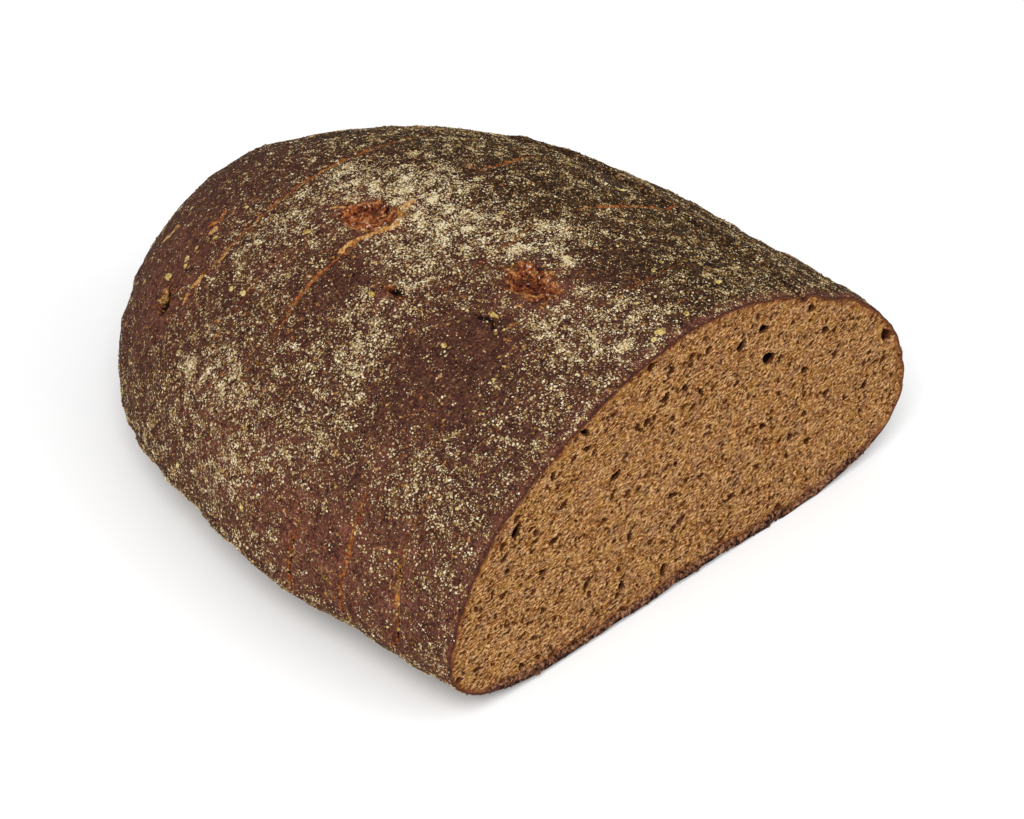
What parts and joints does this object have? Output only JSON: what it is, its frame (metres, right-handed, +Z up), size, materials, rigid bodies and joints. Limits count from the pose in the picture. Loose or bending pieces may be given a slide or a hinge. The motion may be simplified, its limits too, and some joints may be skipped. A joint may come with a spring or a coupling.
{
  "type": "rye bread loaf",
  "caption": "Dark oval hearth loaf of rye bread, cut straight across to show its brown crumb, with a floured crust, torn docking holes and fine cracks.",
  "frame": {"origin": "under the middle of the loaf's bounding box, on the surface that it stands on", "axes": "+X across the loaf, to the right when the cut face is seen square on; +Y along the loaf, from the knife cut to the round end; +Z up"},
  "size_m": [0.1504, 0.1586, 0.0695],
  "materials": {
    "crust": null,
    "crumb": null,
    "flour": "cream rye flour grains and bran flakes, matt"
  },
  "bodies": {
    "root": {"rye_bread_loaf": "crust"}
  },
  "joints": []
}
